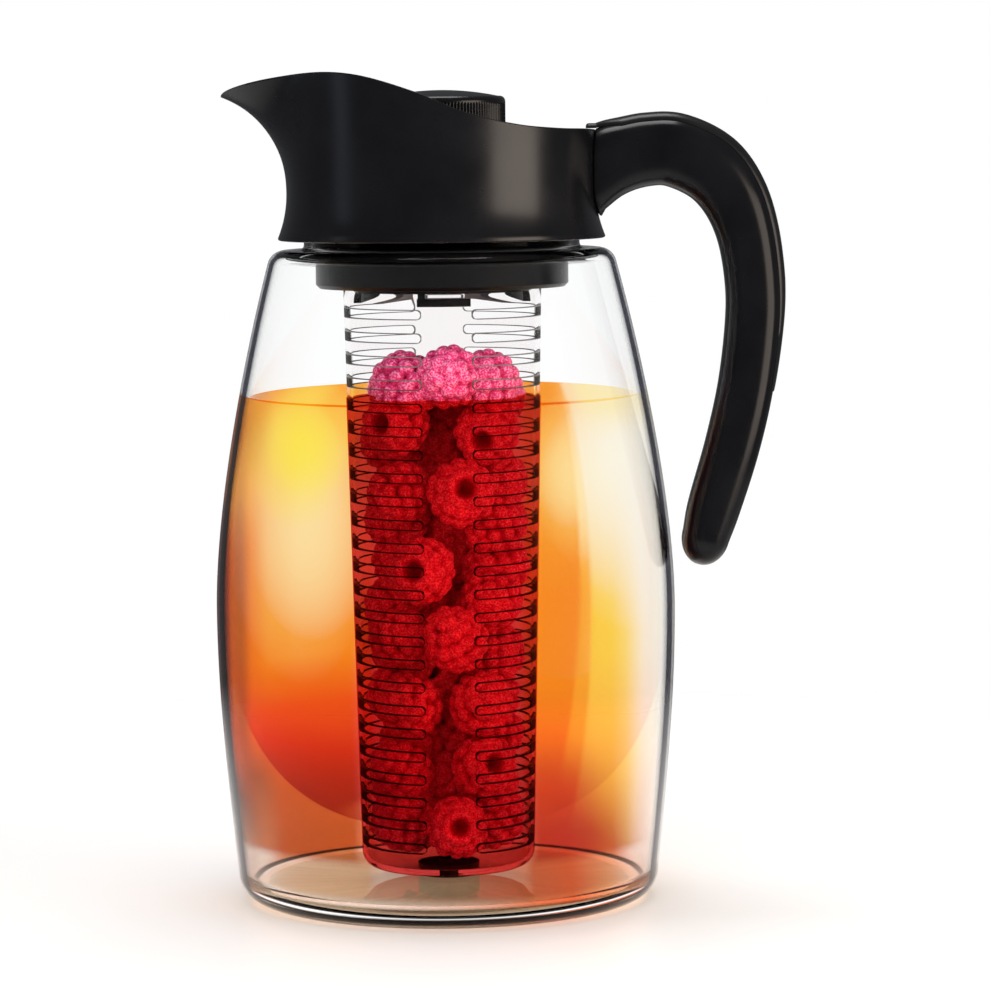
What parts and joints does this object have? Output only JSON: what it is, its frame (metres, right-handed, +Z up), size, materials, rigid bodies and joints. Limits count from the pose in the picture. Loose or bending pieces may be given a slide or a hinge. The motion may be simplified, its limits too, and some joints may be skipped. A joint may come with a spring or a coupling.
{
  "type": "iced tea pitcher",
  "caption": "Glass iced tea pitcher with a black spout collar and handle, a lid plug whose knob turns a pour gate, and a clear slotted infusion core on a bayonet.",
  "frame": {"origin": "centre of the underside of the glass jug, on its axis", "axes": "+Z up along the jug's axis, -X towards the spout, +X towards the handle"},
  "size_m": [0.1853, 0.1488, 0.2678],
  "materials": {
    "jug_glass": "clear, polished",
    "black_plastic": "satin gloss, moulded",
    "spine_plastic": "fine matt",
    "bush_plastic": "smooth matt",
    "silicone": "soft silicone",
    "screw_steel": "stainless",
    "clear_plastic": "clear, polished"
  },
  "bodies": {
    "jug": {"glass_jug": "jug_glass", "spout_collar": "black_plastic", "neck_ring": "black_plastic", "neck_gasket": "silicone", "handle_grip": "black_plastic", "handle_spine": "spine_plastic"},
    "lid": {"lid_plug": "black_plastic", "plug_seal": "silicone", "lid_deck": "black_plastic", "core_socket": "black_plastic", "stem_bush": "bush_plastic"},
    "knob": {"knob_cap": "black_plastic", "knob_insert": "spine_plastic", "knob_screw": "screw_steel", "gate_stem": "bush_plastic", "gate_disc": "bush_plastic", "gate_seal": "silicone", "stem_ring": "silicone"},
    "core": {"infusion_core": "clear_plastic", "core_foot": "spine_plastic"}
  },
  "joints": [
    {"name": "lid_lift", "type": "slide", "parent": "jug", "child": "lid", "axis": [0, 0, 1], "range_m": [0, 0.262]},
    {"name": "knob_turn", "type": "hinge", "parent": "lid", "child": "knob", "pos_m": [0, 0, 0.25], "axis": [0, 0, 1], "range_deg": [0, 90]},
    {"name": "core_twist", "type": "hinge", "parent": "lid", "child": "core", "pos_m": [0, 0, 0.19], "axis": [0, 0, 1], "range_deg": [0, 40]}
  ]
}
